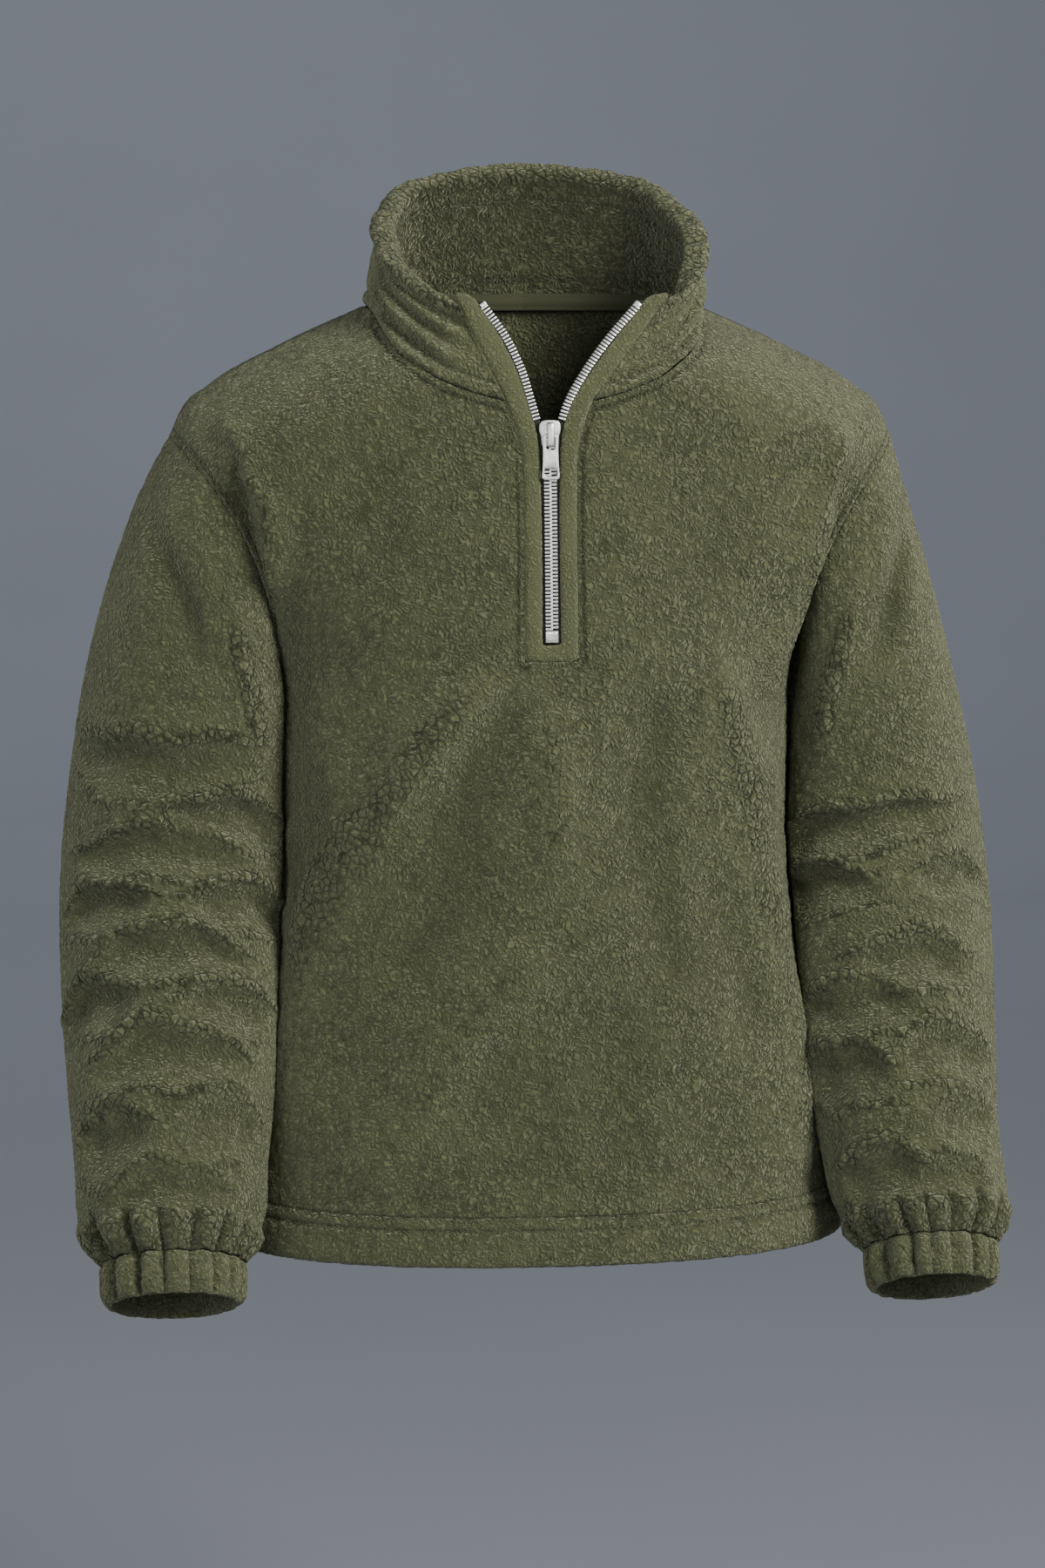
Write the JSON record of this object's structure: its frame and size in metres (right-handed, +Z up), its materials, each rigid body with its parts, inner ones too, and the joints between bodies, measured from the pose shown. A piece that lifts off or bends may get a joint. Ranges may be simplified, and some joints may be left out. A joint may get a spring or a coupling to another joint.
{
  "type": "quarter zip sweater",
  "caption": "Thick fleece quarter zip pullover, open and filled out as worn, with a stand collar, gathered cuffs, a stitched hem band and a metal zip with a swinging pull tab.",
  "frame": {"origin": "midway between the two points where the shoulder seams meet the neck seam, where the wearer's shoulders and neck hold the garment", "axes": "+Z up, the wearer faces -Y, the wearer's left is +X"},
  "size_m": [0.6716, 0.2864, 0.81],
  "materials": {
    "body_fleece": "matte curly pile",
    "sleeve_fleece": "matte curly pile",
    "cuff_fleece": "matte curly pile",
    "hem_fleece": "matte curly pile",
    "collar_fleece": "matte curly pile",
    "placket_fleece": "matte curly pile",
    "neck_tape": "smooth woven tape",
    "zip_tape": "woven tape",
    "zip_metal": "bright metal",
    "slider_metal": "satin metal",
    "pull_metal": "satin metal"
  },
  "bodies": {
    "garment": {"front_panel": "body_fleece", "back_panel": "body_fleece", "sleeve_left": "sleeve_fleece", "sleeve_right": "sleeve_fleece", "cuff_left": "cuff_fleece", "cuff_right": "cuff_fleece", "hem_band": "hem_fleece", "collar": "collar_fleece", "neck_tape": "neck_tape", "placket_left": "placket_fleece", "placket_right": "placket_fleece", "placket_base": "placket_fleece", "zip_tape_left": "zip_tape", "zip_tape_right": "zip_tape", "zip_teeth_closed": "zip_metal", "zip_teeth_left": "zip_metal", "zip_teeth_right": "zip_metal", "zip_top_stop_left": "zip_metal", "zip_top_stop_right": "zip_metal", "zip_bottom_stop": "zip_metal", "zip_slider": "slider_metal"},
    "pull": {"zip_pull": "pull_metal"}
  },
  "joints": [
    {"name": "pull_hinge", "type": "hinge", "parent": "garment", "child": "pull", "pos_m": [0, -0.11729, -0.09039], "axis": [-1, 0, 0], "range_deg": [0, 150]}
  ]
}
